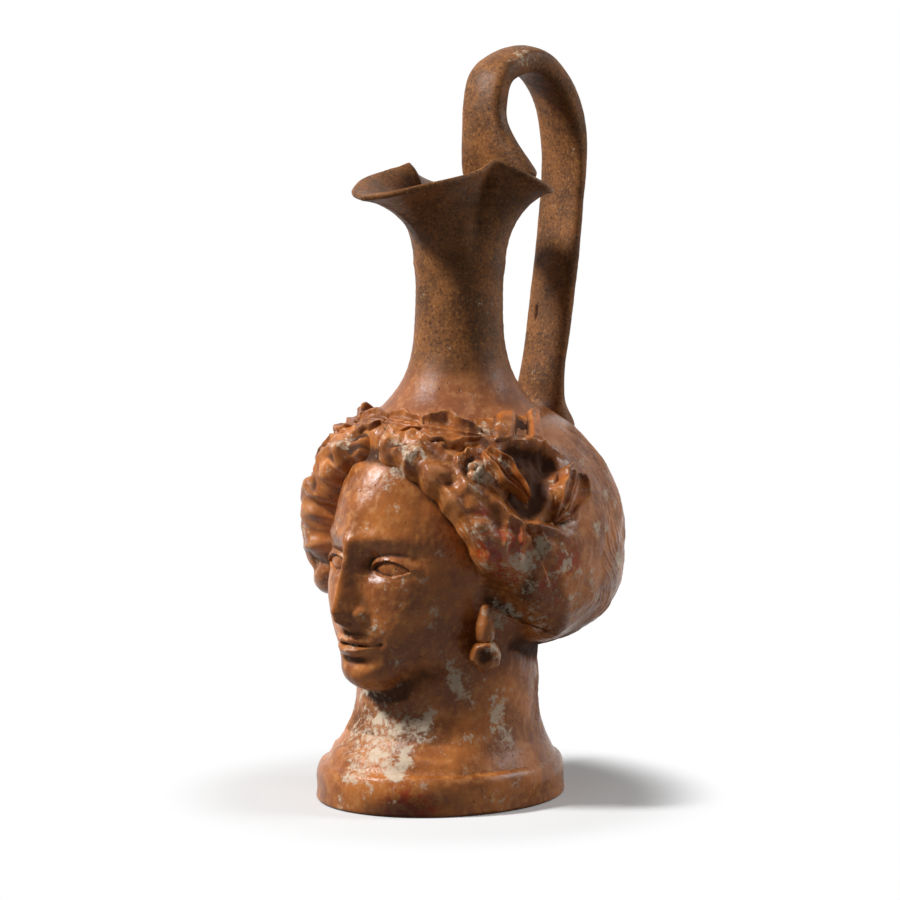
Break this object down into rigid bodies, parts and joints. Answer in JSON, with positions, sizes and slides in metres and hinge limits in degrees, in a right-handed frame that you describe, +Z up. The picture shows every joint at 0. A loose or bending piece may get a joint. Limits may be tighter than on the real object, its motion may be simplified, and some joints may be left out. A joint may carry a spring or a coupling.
{
  "type": "greek head vase",
  "caption": "Fired clay wine jug shaped as a wreathed human head on a low oval foot, with a tall trefoil-mouthed neck and a high strap handle behind.",
  "frame": {"origin": "middle of the flat underside of the foot", "axes": "+Z up through the jug, the face looks toward -Y, the face's own left is +X, the handle is on the +Y side"},
  "size_m": [0.1174, 0.1322, 0.2789],
  "materials": {
    "orange_clay": "burnished fired clay with worn white slip",
    "wreath_clay": "hand-modelled fired clay with traces of red colour",
    "dull_brown_clay": "dull speckled fired clay"
  },
  "bodies": {
    "root": {"foot_plinth": "orange_clay", "floor_disc": "orange_clay", "face_half": "orange_clay", "nape_half": "orange_clay", "jug_neck": "dull_brown_clay", "strap_handle": "dull_brown_clay", "hair_roll_left": "orange_clay", "wreath_leaf_left_1": "wreath_clay", "wreath_leaf_left_2": "wreath_clay", "wreath_leaf_left_3": "wreath_clay", "wreath_leaf_left_4": "wreath_clay", "wreath_leaf_left_5": "wreath_clay", "berry_cluster_left": "wreath_clay", "fillet_tie_left": "wreath_clay", "earring_left": "orange_clay", "hair_roll_right": "orange_clay", "wreath_leaf_right_1": "wreath_clay", "wreath_leaf_right_2": "wreath_clay", "wreath_leaf_right_3": "wreath_clay", "wreath_leaf_right_4": "wreath_clay", "wreath_leaf_right_5": "wreath_clay", "berry_cluster_right": "wreath_clay", "fillet_tie_right": "wreath_clay", "earring_right": "orange_clay"}
  },
  "joints": []
}
